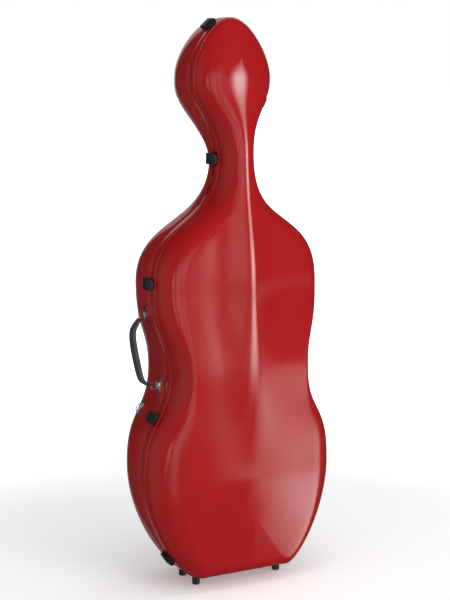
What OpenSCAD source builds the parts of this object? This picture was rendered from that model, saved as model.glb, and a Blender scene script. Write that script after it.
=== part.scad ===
// Hard case for a full-size cello, standing upright on its feet.
// X is to the right, Y runs from the lid (negative) to the back shell (positive), Z is up.
// The origin is on the floor, under the middle of the case's width and depth.
// All lengths are in millimetres. Heights named *_z are measured from the base of the shells.

/* [Outline] */
// Height of the closed shells, without the feet
case_h = 1357; // [1345:1:1370]
// Half width of the flat base
base_half_w = 116; // [110:1:124]
// Half width of the lower bout
lower_half_w = 247; // [243:1:251]
// Height of the lower bout's widest place
lower_z = 270; // [262:1:278]
// Half width of the waist
waist_half_w = 174; // [170:1:178]
// Height of the waist's narrowest place
waist_z = 519; // [512:1:526]
// Half width of the upper bout
upper_half_w = 212; // [208:1:215]
// Height of the upper bout's widest place
upper_z = 725; // [719:1:731]
// Half width of the neck
neck_half_w = 38; // [37:1:41]
// Height of the neck's narrowest place
neck_z = 1029; // [1022:1:1036]
// Half width of the head
head_half_w = 100; // [97:1:103]
// Height of the head's widest place
head_z = 1213; // [1207:1:1219]

/* [Shells] */
// Thickness of the moulded shells
shell_t = 3; // [2.6:0.1:3.4]
// Half of the gap at the seam, which the seal fills
seam_gap = 1; // [0.8:0.1:1.2]
// Depth of the flat lip round the lid
lip_h = 26; // [25:1:28]
// Width of the ledge between the lip and the lid's side
ledge_w = 3; // [2.5:0.1:3.5]
// Thickness of the padded lining
lining_t = 8; // [6:0.5:8]

/* [Hardware] */
// Height of the feet
foot_h = 20; // [15:1:25]
// Diameter of a foot
foot_d = 19; // [16:1:22]
// Half of the distance between the feet
foot_x = 112; // [105:1:114]
// Distance from the seam to the lid's feet
lid_foot_y = 14; // [13:1:17]
// Distance from the seam to the back shell's feet
back_foot_y = 62; // [50:1:70]
// Width of a latch along the rim
latch_w = 27; // [26:0.5:30]
// Distance of the hinge axis from the rim
hinge_off = 6; // [5.9:0.1:7]
// Height of the lower hinge
hinge_low_z = 310; // [305:1:315]
// Height of the upper hinge
hinge_high_z = 752; // [748:1:756]
// Height of the handle's lower plate
handle_low_z = 481; // [477:1:485]
// Height of the handle's upper plate
handle_high_z = 656; // [652:1:660]
// Distance from the seam to the handle
handle_y = 35; // [33:1:40]

/* [Hidden] */
$fn = 48;
EPS = 0.01;
RUN_GAP = 0.05;             // radial clearance of a pin that turns

// ---- outline ---------------------------------------------------------------------------------

// Each stretch runs between two places where the outline is upright or level.
STRETCHES = [
    [[base_half_w, 0], [base_half_w + 34, 0], [lower_half_w, lower_z - 137], [lower_half_w, lower_z]],
    [[lower_half_w, lower_z], [lower_half_w, lower_z + 143],
        [waist_half_w, waist_z - 112], [waist_half_w, waist_z]],
    [[waist_half_w, waist_z], [waist_half_w, waist_z + 75],
        [upper_half_w, upper_z - 113], [upper_half_w, upper_z]],
    [[upper_half_w, upper_z], [upper_half_w, upper_z + 182],
        [neck_half_w, neck_z - 174], [neck_half_w, neck_z]],
    [[neck_half_w, neck_z], [neck_half_w, neck_z + 89],
        [head_half_w, head_z - 66], [head_half_w, head_z]],
    [[head_half_w, head_z], [head_half_w, head_z + 68], [45, case_h], [0, case_h]]];

// Where the rays from the outline meet the centre line, at the ends of the stretches.
SPINE = [162, 250, waist_z, upper_z, neck_z, 1214, 1266];
SPINE_START = 148;
BASE_STEPS = 3;

function bezier(p, t) = pow(1 - t, 3) * p[0] + 3 * pow(1 - t, 2) * t * p[1]
    + 3 * (1 - t) * t * t * p[2] + pow(t, 3) * p[3];
function mix(a, b, t) = a + (b - a) * t;
function ease(t) = t * t * (3 - 2 * t);
function unit(v) = v / norm(v);

// Right half of the outline, from the base to the top, with n points to a stretch.
function half_outline(n) = concat(
    [for (i = [0 : BASE_STEPS - 1]) [base_half_w * i / BASE_STEPS, 0]],
    [for (s = STRETCHES) for (i = [0 : n - 1]) bezier(s, i / n)],
    [[0, case_h]]);
function half_spine(n) = concat(
    [for (i = [0 : BASE_STEPS - 1]) mix(SPINE_START, SPINE[0], i / BASE_STEPS)],
    [for (k = [0 : len(STRETCHES) - 1]) for (i = [0 : n - 1]) mix(SPINE[k], SPINE[k + 1], i / n)],
    [SPINE[len(SPINE) - 1]]);

// Outward normal at point i of the half outline.
function outward(c, i) = i == 0 ? [0, -1] : i == len(c) - 1 ? [0, 1]
    : let (t = unit(c[i + 1] - c[i - 1])) [t[1], -t[0]];

// A ray: outline point, centre-line point, length, and the cosine of its lean to the normal.
function rays(n) = let (c = half_outline(n), s = half_spine(n))
    [for (i = [0 : len(c) - 1]) let (r = c[i] - [0, s[i]], m = norm(r))
        [c[i], [0, s[i]], m, (r * outward(c, i)) / m]];

FINE = rays(8);
EDGE_XZ = half_outline(24);

// Half width of the outline at a height above the flat base.
function edge_x(z) = lookup(z, [for (p = EDGE_XZ) if (p[1] > 0 || p[0] >= base_half_w) [p[1], p[0]]]);
// Lean of the outline's normal above level, in degrees, on the right-hand side.
function edge_lean(z) = atan2(edge_x(z - 1) - edge_x(z + 1), 2);

// ---- shell sections --------------------------------------------------------------------------

// Each row: height, crown depth at the edge, crown depth at the centre, ridge height,
// ridge half width, width of the rounded edge, and how square that edge is.
LID = [
    [0, 92, 104, 0, 60, 42, 2.1],
    [lower_z, 90, 126, 1, 60, 72, 2.2],
    [waist_z, 110, 127, 9, 50, 27, 2.5],
    [upper_z, 87, 111, 20, 50, 50, 2.4],
    [neck_z, 89, 96, 6, 24, 27, 2.6],
    [head_z, 62, 84, 0, 30, 44, 2.2],
    [case_h, 50, 66, 0, 30, 44, 2.0]];
BACK = [
    [0, 136, 142, 0, 90, 40, 2.8],
    [lower_z, 128, 138, 0, 90, 42, 3.2],
    [waist_z, 149, 158, 0, 90, 42, 3.4],
    [upper_z, 129, 137, 0, 90, 42, 3.2],
    [neck_z - 20, 48, 54, 0, 90, 27, 2.6],
    [neck_z + 123, 134, 140, 0, 90, 40, 3.0],
    [head_z + 10, 124, 136, 0, 90, 42, 2.8],
    [case_h, 116, 130, 0, 90, 40, 2.2]];

function row_value(table, k, z, i = 0) = z <= table[0][0] ? table[0][k]
    : i >= len(table) - 1 ? table[len(table) - 1][k]
    : z < table[i + 1][0]
        ? mix(table[i][k], table[i + 1][k], ease((z - table[i][0]) / (table[i + 1][0] - table[i][0])))
    : row_value(table, k, z, i + 1);

// Depth of the crown at (x, z), for a ray from height ze, at fraction v of the way out.
function crown(table, x, z, ze, v) = row_value(table, 2, z) * (1 - v * v)
    + row_value(table, 1, ze) * v * v
    + row_value(table, 3, z) * exp(-pow(x / row_value(table, 4, z), 2));
function rounding(u, p) = pow(1 - pow(1 - u, p), 1 / p);

// Fraction of the ray, from the centre line out, at distance inset plus u round widths.
function out_fraction(table, ray, inset, u) = let (w = min(row_value(table, 5, ray[0][1]),
    0.8 * (ray[2] * ray[3] - inset))) 1 - (inset + u * w) / ray[3] / ray[2];

// A point on the rounded edge, and one on the crown at fraction f of the rest of the ray.
function edge_point(table, side, start, ray, inset, drop, u) = let (
    v = out_fraction(table, ray, inset, u),
    q = mix(ray[1], ray[0], v),
    top = crown(table, q[0], q[1], ray[0][1], v) - drop,
    d = mix(start, top, rounding(u, row_value(table, 6, ray[0][1]))))
    [q[0], side * d, q[1]];
function crown_point(table, side, ray, inset, drop, f) = let (
    v = out_fraction(table, ray, inset, 1) * f,
    q = mix(ray[1], ray[0], v))
    [q[0], side * (crown(table, q[0], q[1], ray[0][1], v) - drop), q[1]];
function rim_point(ray, inset, y) = let (q = mix(ray[1], ray[0], 1 - inset / ray[3] / ray[2]))
    [q[0], y, q[1]];

function both_halves(h) = concat(h, [for (i = [len(h) - 2 : -1 : 1]) [-h[i][0], h[i][1], h[i][2]]]);

// Rings of one skin: the edge steps, then the crown steps, then the centre line.
EDGE_FINE = [0.01, 0.05, 0.13, 0.27, 0.48, 0.74, 1];
EDGE_PLAIN = [0.03, 0.18, 0.5, 1];
CROWN_FINE = [0.8, 0.58, 0.38, 0.2, 0.09];
CROWN_PLAIN = [0.6, 0.25];
function skin(table, side, start, lines, inset, drop, edges, crowns) = concat(
    [for (u = edges) both_halves([for (r = lines) edge_point(table, side, start, r, inset, drop, u)])],
    [for (f = crowns) both_halves([for (r = lines) crown_point(table, side, r, inset, drop, f)])],
    [[for (r = lines) crown_point(table, side, r, inset, drop, 0)]]);
function rim(lines, inset, y) = [both_halves([for (r = lines) rim_point(r, inset, y)])];

function flat(lists) = [for (a = lists) for (b = a) b];
function strip(a, b, n) = [for (i = [0 : n - 1]) let (j = (i + 1) % n)
    each [[a + i, a + j, b + j], [a + i, b + j, b + i]]];
// The last strip closes the ring that starts at a on the centre line that starts at s. Its squares
// are cut along one diagonal near the base and the other near the top, so no triangle is flat.
function closing(a, s, n) = [for (i = [0 : n / 2 - 1]) let (l = (n - i) % n, k = n - i - 1)
    each i < n / 4
        ? [[a + i, a + i + 1, s + i], [a + i + 1, s + i + 1, s + i],
            [a + l, s + i, a + k], [a + k, s + i, s + i + 1]]
        : [[a + i, a + i + 1, s + i + 1], [a + i, s + i + 1, s + i],
            [a + l, s + i, s + i + 1], [a + l, s + i + 1, a + k]]];
function skin_faces(first, rings, n) = concat(
    flat([for (k = [0 : rings - 2]) strip(first + k * n, first + (k + 1) * n, n)]),
    closing(first + (rings - 1) * n, first + rings * n, n));
function turned(faces) = [for (f = faces) [f[2], f[1], f[0]]];

// A closed bowl between an outer and an inner skin, joined at the rim.
module bowl(outer, inner, side) {
    n = len(outer[0]);
    outer_rings = len(outer) - 1;
    inner_rings = len(inner) - 1;
    inner_first = outer_rings * n + len(outer[outer_rings]);
    faces = concat(skin_faces(0, outer_rings, n), turned(skin_faces(inner_first, inner_rings, n)),
        turned(strip(0, inner_first, n)));
    polyhedron(points = concat(flat(outer), flat(inner)), faces = side > 0 ? faces : turned(faces));
}

RIM_IN = ledge_w + shell_t;          // inner face of the thickened rim
LINING_GAP = 0.8;
LINING_OUT = RIM_IN + LINING_GAP;
LINING_IN = LINING_OUT + lining_t;
LINING_DROP = shell_t + 1.2; // depth from the crown to the lining's outer skin
LINING_RIM = seam_gap + 2;
LIP_ROUND = 1;

// Moves from the seam plane and the shells' base to the origin under the middle of the case.
LID_DEPTH = row_value(LID, 2, waist_z) + row_value(LID, 3, waist_z);
BACK_DEPTH = row_value(BACK, 2, waist_z);
SEAM_Y = (LID_DEPTH - BACK_DEPTH) / 2;
module lift() {
    translate([0, SEAM_Y, foot_h]) children();
}

module back_shell() {
    outer = concat(rim(FINE, 0, seam_gap), skin(BACK, 1, seam_gap, FINE, 0, 0, EDGE_FINE, CROWN_FINE));
    inner = concat(rim(FINE, RIM_IN, seam_gap),
        skin(BACK, 1, seam_gap, FINE, RIM_IN, shell_t, EDGE_PLAIN, CROWN_PLAIN));
    color("firebrick") lift() bowl(outer, inner, 1);
}

module lid_shell() {
    outer = concat(rim(FINE, 0, -seam_gap), rim(FINE, 0, LIP_ROUND - lip_h), rim(FINE, LIP_ROUND, -lip_h),
        rim(FINE, ledge_w, -lip_h - 0.4), skin(LID, -1, lip_h, FINE, ledge_w, 0, EDGE_FINE, CROWN_FINE));
    inner = concat(rim(FINE, RIM_IN, -seam_gap),
        skin(LID, -1, lip_h, FINE, RIM_IN, shell_t, EDGE_PLAIN, CROWN_PLAIN));
    color("firebrick") lift() bowl(outer, inner, -1);
}

module back_lining() {
    outer = concat(rim(FINE, LINING_OUT, LINING_RIM),
        skin(BACK, 1, LINING_RIM, FINE, LINING_OUT, LINING_DROP, EDGE_PLAIN, CROWN_PLAIN));
    inner = concat(rim(FINE, LINING_IN, LINING_RIM),
        skin(BACK, 1, LINING_RIM, FINE, LINING_IN, LINING_DROP + lining_t, EDGE_PLAIN, CROWN_PLAIN));
    color("dimgray") lift() bowl(outer, inner, 1);
}

module lid_lining() {
    outer = concat(rim(FINE, LINING_OUT, -LINING_RIM),
        skin(LID, -1, lip_h, FINE, LINING_OUT, LINING_DROP, EDGE_PLAIN, CROWN_PLAIN));
    inner = concat(rim(FINE, LINING_IN, -LINING_RIM),
        skin(LID, -1, lip_h, FINE, LINING_IN, LINING_DROP + lining_t, EDGE_PLAIN, CROWN_PLAIN));
    color("dimgray") lift() bowl(outer, inner, -1);
}

SEAL_OUT = 0.8;
SEAL_IN = 5.6;
module seal_outline(inset) {
    polygon([for (p = flat(rim(FINE, inset, 0))) [p[0], p[2]]]);
}
module rim_seal() {
    color("black") lift() rotate([90, 0, 0]) translate([0, 0, -seam_gap + RUN_GAP])
        linear_extrude(2 * (seam_gap - RUN_GAP)) difference() {
            seal_outline(SEAL_OUT);
            seal_outline(SEAL_IN);
        }
}

// ---- places on the rim -----------------------------------------------------------------------

// Local axes at the rim: X outwards, Y towards the back shell, Z along the rim.
module at_rim(side, z) {
    lean = edge_lean(z);
    translate([side * edge_x(z), 0, z]) rotate([0, side > 0 ? -lean : lean - 180, 0]) children();
}
// Distance of the back shell's wall inside the rim at depth y.
function wall_inset(z, y) = let (p = row_value(BACK, 6, z))
    row_value(BACK, 5, z) * (1 - pow(1 - pow(y / row_value(BACK, 1, z), p), 1 / p));

RIVET_R = 1.5;
RIVET_HEAD_R = 2.8;
RIVET_HEAD_H = 1.1;
// A domed rivet along X with its head resting at x = seat and its shank reaching x = tip.
module rivet(seat, tip) {
    translate([seat, 0, 0]) rotate([0, 90, 0]) rotate_extrude() polygon(concat(
        [[0, tip - seat], [RIVET_R, tip - seat], [RIVET_R, 0]],
        [for (a = [0 : 15 : 90]) [RIVET_HEAD_R * cos(a), RIVET_HEAD_H * sin(a)]]));
}
module rivet_hole(x0, x1) {
    translate([x0, 0, 0]) rotate([0, 90, 0]) cylinder(r = RIVET_R + RUN_GAP, h = x1 - x0);
}
SHANK_TIP = -4;             // how far a rivet reaches into the shell

// ---- hinges ----------------------------------------------------------------------------------

HINGE_X = [for (z = [hinge_low_z, hinge_high_z]) edge_x(z) + hinge_off];
HINGE_SLOPE = (HINGE_X[1] - HINGE_X[0]) / (hinge_high_z - hinge_low_z);
HINGE_TILT = atan(HINGE_SLOPE);
HINGE_LEN = 44;
KNUCKLE_R = 4;
KNUCKLE_GAP = 0.4;
LID_KNUCKLE = 15;
HINGE_PIN_R = 1.6;
LEAF_T = 1.6;
LEAF_REACH = 24;
LEAF_X = 0.3 - hinge_off;   // the leaf's inner face

module at_hinges() {
    for (z = [hinge_low_z, hinge_high_z]) translate([HINGE_X[0] + HINGE_SLOPE * (z - hinge_low_z), 0, z])
        rotate([0, HINGE_TILT, 0]) children();
}
// A leaf on the side of Y given by dir, with knuckles at the given [centre, length] places.
module hinge_leaf(dir, knuckles) {
    difference() {
        union() {
            translate([LEAF_X, dir > 0 ? KNUCKLE_R + 1 : -LEAF_REACH, -HINGE_LEN / 2])
                cube([LEAF_T, LEAF_REACH - KNUCKLE_R - 1, HINGE_LEN]);
            for (k = knuckles) translate([0, 0, k[0] - k[1] / 2]) {
                cylinder(r = KNUCKLE_R, h = k[1]);
                translate([LEAF_X, dir > 0 ? 1 : -KNUCKLE_R - 1 - EPS, 0])
                    cube([-LEAF_X - 1, KNUCKLE_R + EPS, k[1]]);
            }
        }
        cylinder(r = HINGE_PIN_R + RUN_GAP, h = 2 * HINGE_LEN, center = true);
        for (s = [-1, 1]) translate([0, dir * 16, s * 13]) rivet_hole(LEAF_X - 1, LEAF_X + LEAF_T + 1);
    }
}
OUTER_KNUCKLE = (HINGE_LEN - LID_KNUCKLE) / 2 - KNUCKLE_GAP;
module hinge_leaves_back() {
    c = (HINGE_LEN - OUTER_KNUCKLE) / 2;
    color("silver") lift() at_hinges() hinge_leaf(1, [[-c, OUTER_KNUCKLE], [c, OUTER_KNUCKLE]]);
}
module hinge_leaves_lid() {
    color("silver") lift() at_hinges() hinge_leaf(-1, [[0, LID_KNUCKLE]]);
}
module hinge_pins() {
    color("silver") lift() at_hinges() cylinder(r = HINGE_PIN_R, h = HINGE_LEN + 1, center = true);
}

// ---- latches ---------------------------------------------------------------------------------

// Side of the case and height of each latch.
LATCHES = [[-1, 1338], [-1, 1024], [-1, 735], [-1, 407], [-1, 54], [1, 1157], [1, 35]];
PIN_X = 5.2;
PIN_Y = 20;
LATCH_PIN_R = 1.5;
COVER_LOW = 3.5;
COVER_RISE = 8.1;
COVER_FRONT = 26;
COVER_REAR = 21;
COVER_WALL = 1.6;
COVER_ROUND = 11;           // corner radius, seen from outside
BAIL_R = 1.2;
BAIL_X = 6;
BAIL_Y = 4;
BAIL_LEN = 22;
BAIL_HALF_W = 9;
BAIL_TIP_X = 4.2;
EAR_IN = 8;
EAR_OUT = 10.6;
EAR_R = 3.1;
PLATE_LOW = 0.3;
PLATE_TOP = 2;

module at_latch(k) {
    at_rim(LATCHES[k][0], LATCHES[k][1]) children();
}
// A flat bar with rounded corners, x from low to high, y from y0 to y1, full width w in Z.
module rounded_bar(low, high, y0, y1, w, r) {
    translate([low, 0, 0]) rotate([0, 90, 0]) linear_extrude(high - low) union() {
        translate([-w / 2 + r, y0]) square([w - 2 * r, y1 - y0]);
        translate([-w / 2, y0 + r]) square([w, y1 - y0 - 2 * r]);
        for (a = [-1, 1]) for (y = [y0 + r, y1 - r]) translate([a * (w / 2 - r), y]) circle(r);
    }
}
// Height of the cover's top at y: a flattened arch that is lower at the front.
function cover_x(y, cut) = COVER_LOW + (COVER_RISE - cut)
    * pow(1 - pow(abs(y) / (COVER_FRONT - cut), 4), 0.25);
function cover_side(cut, rear) = concat([[COVER_LOW - (cut > 0 ? 1 : 0), -COVER_FRONT + cut]],
    [for (t = [1 : 14]) let (y = mix(-COVER_FRONT + cut, rear, 1 - pow(1 - t / 14, 1.6)))
        [cover_x(mix(-COVER_FRONT + cut, y, t < 3 ? t / 4 : 1), cut), y]],
    [[COVER_LOW - (cut > 0 ? 1 : 0), rear]]);

module latch_lever(k) {
    color("black") lift() at_latch(k) difference() {
        intersection() {
            translate([0, 0, -latch_w / 2]) linear_extrude(latch_w) polygon(cover_side(0, COVER_REAR));
            rounded_bar(0, 20, -COVER_FRONT, COVER_REAR + 9, latch_w, COVER_ROUND);
        }
        intersection() {
            translate([0, 0, -latch_w / 2]) linear_extrude(latch_w)
                polygon(cover_side(COVER_WALL, COVER_REAR + 1));
            rounded_bar(0, 20, -COVER_FRONT + COVER_WALL, COVER_REAR + 9, latch_w - 2 * COVER_WALL,
                COVER_ROUND - COVER_WALL);
        }
        translate([PIN_X, PIN_Y, 0]) cylinder(r = LATCH_PIN_R + RUN_GAP, h = 60, center = true);
        translate([BAIL_X, BAIL_Y, 0]) cylinder(r = BAIL_R + RUN_GAP, h = 60, center = true);
    }
}
module latch_bail(k) {
    lean = atan((BAIL_TIP_X - BAIL_X) / BAIL_LEN);
    color("silver") lift() at_latch(k) translate([BAIL_X, BAIL_Y, 0]) {
        cylinder(r = BAIL_R, h = latch_w - 0.6, center = true);
        rotate([0, 0, lean]) {
            translate([0, -BAIL_LEN, 0]) cylinder(r = BAIL_R, h = 2 * (BAIL_HALF_W + BAIL_R), center = true);
            for (s = [-1, 1]) translate([0, 0, s * BAIL_HALF_W])
                rotate([90, 0, 0]) cylinder(r = BAIL_R - 0.15, h = BAIL_LEN);
        }
    }
}
BASE_RIVET_Y = 11.5;
BASE_END_Y = 29;
module latch_base() {
    difference() {
        union() {
            rounded_bar(PLATE_LOW, PLATE_TOP, 7, BASE_END_Y, 2 * EAR_OUT + 2, 3);
            for (s = [-1, 1]) translate([0, PIN_Y, s * (EAR_IN + EAR_OUT) / 2]) {
                translate([PIN_X, 0, 0]) cylinder(r = EAR_R, h = EAR_OUT - EAR_IN, center = true);
                translate([PLATE_LOW + 1, -EAR_R, -(EAR_OUT - EAR_IN) / 2])
                    cube([PIN_X - PLATE_LOW - 1, 2 * EAR_R, EAR_OUT - EAR_IN]);
            }
        }
        translate([PIN_X, PIN_Y, 0]) cylinder(r = LATCH_PIN_R + RUN_GAP, h = 60, center = true);
        for (y = [BASE_RIVET_Y, BASE_END_Y - 4]) translate([0, y, 0]) rivet_hole(0, 3);
    }
}
STRIKE_TOP = 1.3;
STRIKE_Y = [-20, -9];
STRIKE_RIVET_Y = -14.5;
module latch_strike() {
    difference() {
        rounded_bar(PLATE_LOW, STRIKE_TOP, STRIKE_Y[0], STRIKE_Y[1], 2 * EAR_OUT, 3);
        for (s = [-1, 1]) translate([0, STRIKE_RIVET_Y, s * 6]) rivet_hole(0, 3);
    }
}
module latch_bases() {
    color("black") lift() for (k = [0 : len(LATCHES) - 1]) at_latch(k) latch_base();
}
module latch_strikes() {
    color("silver") lift() for (k = [0 : len(LATCHES) - 1]) at_latch(k) latch_strike();
}
module latch_pins() {
    color("silver") lift() for (k = [0 : len(LATCHES) - 1]) at_latch(k)
        translate([PIN_X, PIN_Y, 0]) cylinder(r = LATCH_PIN_R, h = latch_w - 0.6, center = true);
}

// ---- handle ----------------------------------------------------------------------------------

LOOP_R = 3.7;               // outside of the barrel that holds a ring
RING_R = 1.5;               // half the thickness of a ring's wire
LOOP_LEN = 11;
RING_HALF_W = 8.5;
HANDLE_STAND = 6.8;         // the rings' axis outside the rim
HANDLE_X = [for (z = [handle_low_z, handle_high_z]) -edge_x(z) - HANDLE_STAND];
HANDLE_SLOPE = (HANDLE_X[1] - HANDLE_X[0]) / (handle_high_z - handle_low_z);
HANDLE_PLATE = [46, 14];
HANDLE_RING_OUT = 15;

module at_handle_axis(z) {
    translate([HANDLE_X[0] + HANDLE_SLOPE * (z - handle_low_z), handle_y, z])
        rotate([0, atan(HANDLE_SLOPE), 0]) children();
}
module loop_barrel(reach) {
    difference() {
        union() {
            cylinder(r = LOOP_R, h = LOOP_LEN, center = true);
            translate([0, 1 - LOOP_R, 1 - LOOP_LEN / 2]) cube([reach, 2 * LOOP_R - 2, LOOP_LEN - 2]);
        }
        cylinder(r = RING_R + RUN_GAP, h = 60, center = true);
    }
}
PLATE_FACE = 0.2;
module handle_plate(z) {
    difference() {
        union() {
            at_rim(-1, z) translate([PLATE_FACE, handle_y, 0])
                rounded_bar(0, 1.6, -HANDLE_PLATE[1] / 2, HANDLE_PLATE[1] / 2, HANDLE_PLATE[0], 6.9);
            at_handle_axis(z) loop_barrel(HANDLE_STAND - PLATE_FACE - 0.6);
        }
        for (s = [-1, 1]) at_rim(-1, z) translate([0, handle_y, s * 16]) rivet_hole(-1, 4);
    }
}
module handle_plates() {
    color("silver") lift() for (z = [handle_low_z, handle_high_z]) handle_plate(z);
}
// A closed wire loop: one straight side on the Z axis, the other at x = out.
module wire_loop(out, half_w, r) {
    for (x = [0, out]) translate([x, 0, 0]) cylinder(r = r, h = 2 * half_w, center = true);
    for (s = [-1, 1]) translate([0, 0, s * half_w]) {
        rotate([0, sign(out) * 90, 0]) cylinder(r = r, h = abs(out));
        sphere(r);
        translate([out, 0, 0]) sphere(r);
    }
}
module handle_rings() {
    color("silver") lift() for (z = [handle_low_z, handle_high_z]) at_handle_axis(z)
        wire_loop(-HANDLE_RING_OUT, RING_HALF_W, RING_R);
}
// The grip's centre line: [outwards from the rings' axis, height from the lower plate].
GRIP_PATH = [[14, 4], [25, 9], [34, 17], [38.5, 28], [40.5, 52], [41.5, 82], [41.5, 110], [40, 132],
    [35, 149], [25, 161], [14, 171]];
GRIP_T = 12;
GRIP_W = 27;
GRIP_END_W = 16;
function grip_swell(k) = sin(180 * k / (len(GRIP_PATH) - 1));
function grip_r(k) = mix(3.2, GRIP_T / 2, grip_swell(k));
module grip_slice(k) {
    translate([-GRIP_PATH[k][0], 0, GRIP_PATH[k][1]]) rotate([90, 0, 0])
        cylinder(r = grip_r(k), h = mix(GRIP_END_W, GRIP_W, pow(grip_swell(k), 0.6)), center = true, $fn = 16);
}
module handle_grip() {
    color("black") lift() at_handle_axis(handle_low_z)
        for (k = [1 : len(GRIP_PATH) - 1]) hull() {
            grip_slice(k - 1);
            grip_slice(k);
        }
}

// ---- backpack strap rings ---------------------------------------------------------------------

STRAP_Z = 414;
STRAP_Y = 90;
STRAP_TURN = 12;
STRAP_TOP_Z = 815;
STRAP_PLATE = [42, 14];
STRAP_STAND = 4.8;
STRAP_RING_HALF_W = 11;
STRAP_RIVET_Z = 15.6;
STRAP_REST = [62, 62, -78];   // how far each ring hangs over from the plate's normal
TOP_DEPTH = row_value(BACK, 2, STRAP_TOP_Z);
TOP_TILT = atan((row_value(BACK, 2, STRAP_TOP_Z - 2) - row_value(BACK, 2, STRAP_TOP_Z + 2)) / 4);

// Local axes at a strap plate: X outwards, Z along the plate.
module at_strap(k) {
    if (k < 2) at_rim(k == 0 ? -1 : 1, STRAP_Z) translate([-wall_inset(STRAP_Z, STRAP_Y), STRAP_Y, 0])
        rotate([0, 0, STRAP_TURN]) children();
    if (k == 2) translate([0, TOP_DEPTH, STRAP_TOP_Z]) rotate([TOP_TILT, 0, 0]) rotate([0, 0, 90])
        rotate([90, 0, 0]) children();
}
module strap_plate() {
    difference() {
        union() {
            translate([1, 0, 0]) rounded_bar(0, 1.6, -STRAP_PLATE[1] / 2, STRAP_PLATE[1] / 2,
                STRAP_PLATE[0], 6.9);
            translate([STRAP_STAND, 0, 0]) mirror([1, 0, 0]) loop_barrel(STRAP_STAND - 1.5);
        }
        for (s = [-1, 1]) translate([0, 0, s * STRAP_RIVET_Z]) rivet_hole(-1, 4);
    }
}
module strap_plates() {
    color("silver") lift() for (k = [0 : 2]) at_strap(k) strap_plate();
}
module strap_ring(k) {
    color("silver") lift() at_strap(k) translate([STRAP_STAND, 0, 0]) {
        cylinder(r = RING_R, h = 2 * (STRAP_RING_HALF_W + RING_R), center = true);
        rotate([0, 0, STRAP_REST[k]]) rotate([90, 0, 0]) rotate([0, 0, -90]) rotate_extrude(angle = 180)
            translate([STRAP_RING_HALF_W, 0]) circle(RING_R - 0.15);
    }
}

// ---- rivets and feet --------------------------------------------------------------------------

module back_rivets() {
    color("silver") lift() {
        for (k = [0 : len(LATCHES) - 1]) at_latch(k) for (y = [BASE_RIVET_Y, BASE_END_Y - 4])
            translate([0, y, 0]) rivet(PLATE_TOP + EPS, SHANK_TIP);
        at_hinges() for (s = [-1, 1]) translate([0, 16, s * 13])
            rivet(LEAF_X + LEAF_T + EPS, LEAF_X + SHANK_TIP);
        for (z = [handle_low_z, handle_high_z]) for (s = [-1, 1]) at_rim(-1, z)
            translate([0, handle_y, s * 16]) rivet(PLATE_FACE + 1.6 + EPS, SHANK_TIP);
        for (k = [0 : 2]) at_strap(k) for (s = [-1, 1]) translate([0, 0, s * STRAP_RIVET_Z])
            rivet(2.6 + EPS, SHANK_TIP + 2);
    }
}
module lid_rivets() {
    color("silver") lift() {
        for (k = [0 : len(LATCHES) - 1]) at_latch(k) for (s = [-1, 1])
            translate([SHANK_TIP, STRIKE_RIVET_Y, s * 6]) rotate([0, 90, 0])
                cylinder(r = RIVET_R, h = STRIKE_TOP - SHANK_TIP);
        at_hinges() for (s = [-1, 1]) translate([0, -16, s * 13])
            rivet(LEAF_X + LEAF_T + EPS, LEAF_X + SHANK_TIP);
    }
}
// A foot that tapers slightly and runs up into the base of its shell.
FOOT_SINK = 4;
module foot() {
    rotate_extrude() polygon([[0, 0], [foot_d / 2 - 2, 0], [foot_d / 2 - 0.6, 0.6], [foot_d / 2, 2],
        [foot_d / 2, foot_h - 3], [foot_d / 2 - 1, foot_h - 1.5], [4, foot_h - 1.5],
        [4, foot_h + FOOT_SINK], [0, foot_h + FOOT_SINK]]);
}
module lid_feet() {
    color("black") lift() for (s = [-1, 1]) translate([s * foot_x, -lid_foot_y, -foot_h]) foot();
}
module back_feet() {
    color("black") lift() for (s = [-1, 1]) translate([s * foot_x, back_foot_y, -foot_h]) foot();
}

// ---- inside -----------------------------------------------------------------------------------

// Foam under the instrument's lower block, with a hole for the endpin's tip.
module bottom_cushion() {
    color("dimgray") lift() difference() {
        translate([-75, 14, 19]) cube([150, 52, 41]);
        translate([0, 42, 38]) cylinder(r = 14, h = 60);
    }
}
// A wedge that follows the inside of the back shell between two heights, at both sides.
module side_cushion(z0, z1, gap, thick) {
    steps = 10;
    zs = [for (i = [0 : steps]) mix(z0, z1, i / steps)];
    outer = [for (z = zs) [edge_x(z) - gap, z]];
    inner = [for (i = [steps : -1 : 0]) [edge_x(zs[i]) - gap - 2 - thick * sin(180 * i / steps), zs[i]]];
    for (s = [0, 1]) mirror([s, 0, 0]) translate([0, 64, 0]) rotate([90, 0, 0]) linear_extrude(48)
        polygon(concat(outer, inner));
}
module lower_side_cushions() {
    color("dimgray") lift() side_cushion(150, 370, 21.5, 34);
}
module upper_side_cushions() {
    color("dimgray") lift() side_cushion(640, 790, 24.5, 34);
}
CRADLE_Z = 905;
module neck_cradle() {
    color("dimgray") lift() difference() {
        union() {
            translate([-30, 6, CRADLE_Z]) cube([60, 30, 46]);
            translate([-15, 0, 0]) rotate([90, 0, 90]) linear_extrude(30)
                polygon([[30, CRADLE_Z + 2], [58, CRADLE_Z + 2], [44, CRADLE_Z + 44], [30, CRADLE_Z + 44]]);
        }
        translate([0, 4, CRADLE_Z - 1]) cylinder(r = 21, h = 60);
    }
}
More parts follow.
